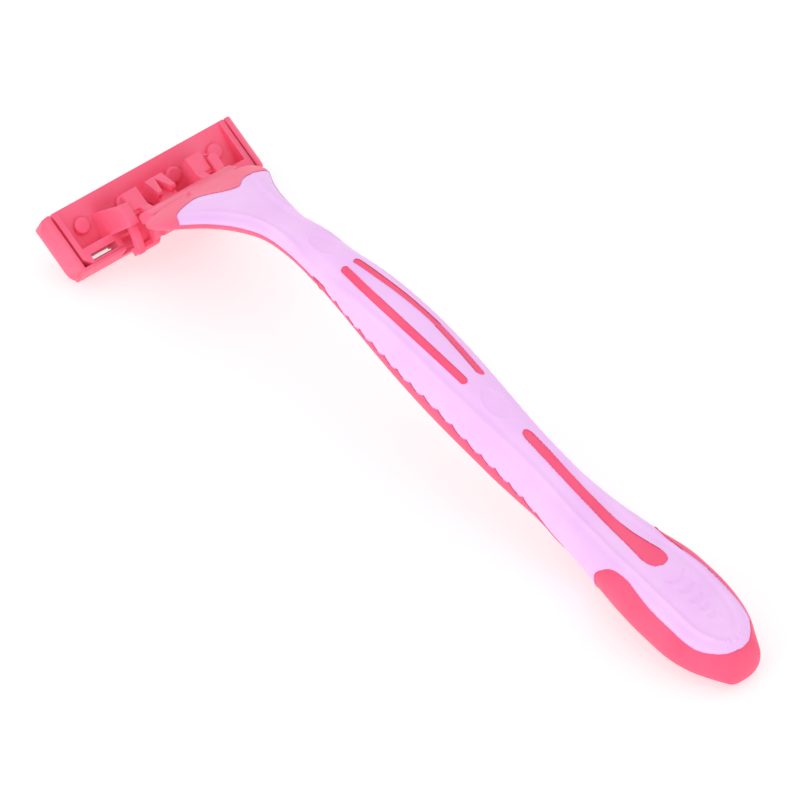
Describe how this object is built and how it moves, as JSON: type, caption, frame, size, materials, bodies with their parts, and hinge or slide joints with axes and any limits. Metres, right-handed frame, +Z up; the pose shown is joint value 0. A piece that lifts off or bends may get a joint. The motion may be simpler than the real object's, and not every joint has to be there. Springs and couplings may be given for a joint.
{
  "type": "cartridge razor",
  "caption": "Wet-shaving razor with an arched two-tone rubber-grip handle and a sprung cartridge that pivots on arched shell bearings.",
  "frame": {"origin": "centre of the bounding box in X and Y, at its lowest point in Z, with the razor lying on a table, blades down", "axes": "+Y from the handle's tail to the cartridge, +Z up from the table, +X along the cartridge"},
  "size_m": [0.04, 0.1502, 0.0247],
  "materials": {
    "grip_lilac": "satin",
    "shell_pink": "satin",
    "rubber_pink": "matte",
    "spring_steel": "polished",
    "blade_steel": "polished",
    "spacer_metal": "satin",
    "strip_white": "matte"
  },
  "bodies": {
    "handle": {"handle_core": "grip_lilac", "shoulder_collar": "shell_pink", "belly_grip": "rubber_pink", "tail_bumper": "rubber_pink", "stripe_inlay_left": "rubber_pink", "stripe_inlay_right": "rubber_pink", "teardrop_inlay": "rubber_pink", "yoke": "shell_pink", "plunger_spring": "spring_steel"},
    "cartridge": {"cartridge_frame": "shell_pink", "blade_platform": "shell_pink", "cartridge_cap": "shell_pink", "lubricating_strip": "strip_white", "guard_fins": "rubber_pink", "blade_first": "blade_steel", "blade_second": "blade_steel", "blade_third": "blade_steel", "blade_spacer_lower": "spacer_metal", "blade_spacer_upper": "spacer_metal"},
    "plunger": {"plunger": "shell_pink"}
  },
  "joints": [
    {"name": "cartridge_pivot", "type": "hinge", "parent": "handle", "child": "cartridge", "pos_m": [0, 0.06929, 0.00317], "axis": [1, 0, 0], "range_deg": [0, 35], "stiffness_Nm_per_rad": 0.008, "springref_deg": -20.05},
    {"name": "plunger_slide", "type": "slide", "parent": "handle", "child": "plunger", "axis": [0, -1, 0], "range_m": [0, 0.00175], "deforming": ["plunger_spring"]}
  ],
  "couplings": [
    {"joint": "plunger_slide", "follows": "cartridge_pivot", "m_per_rad": 0.00286}
  ]
}
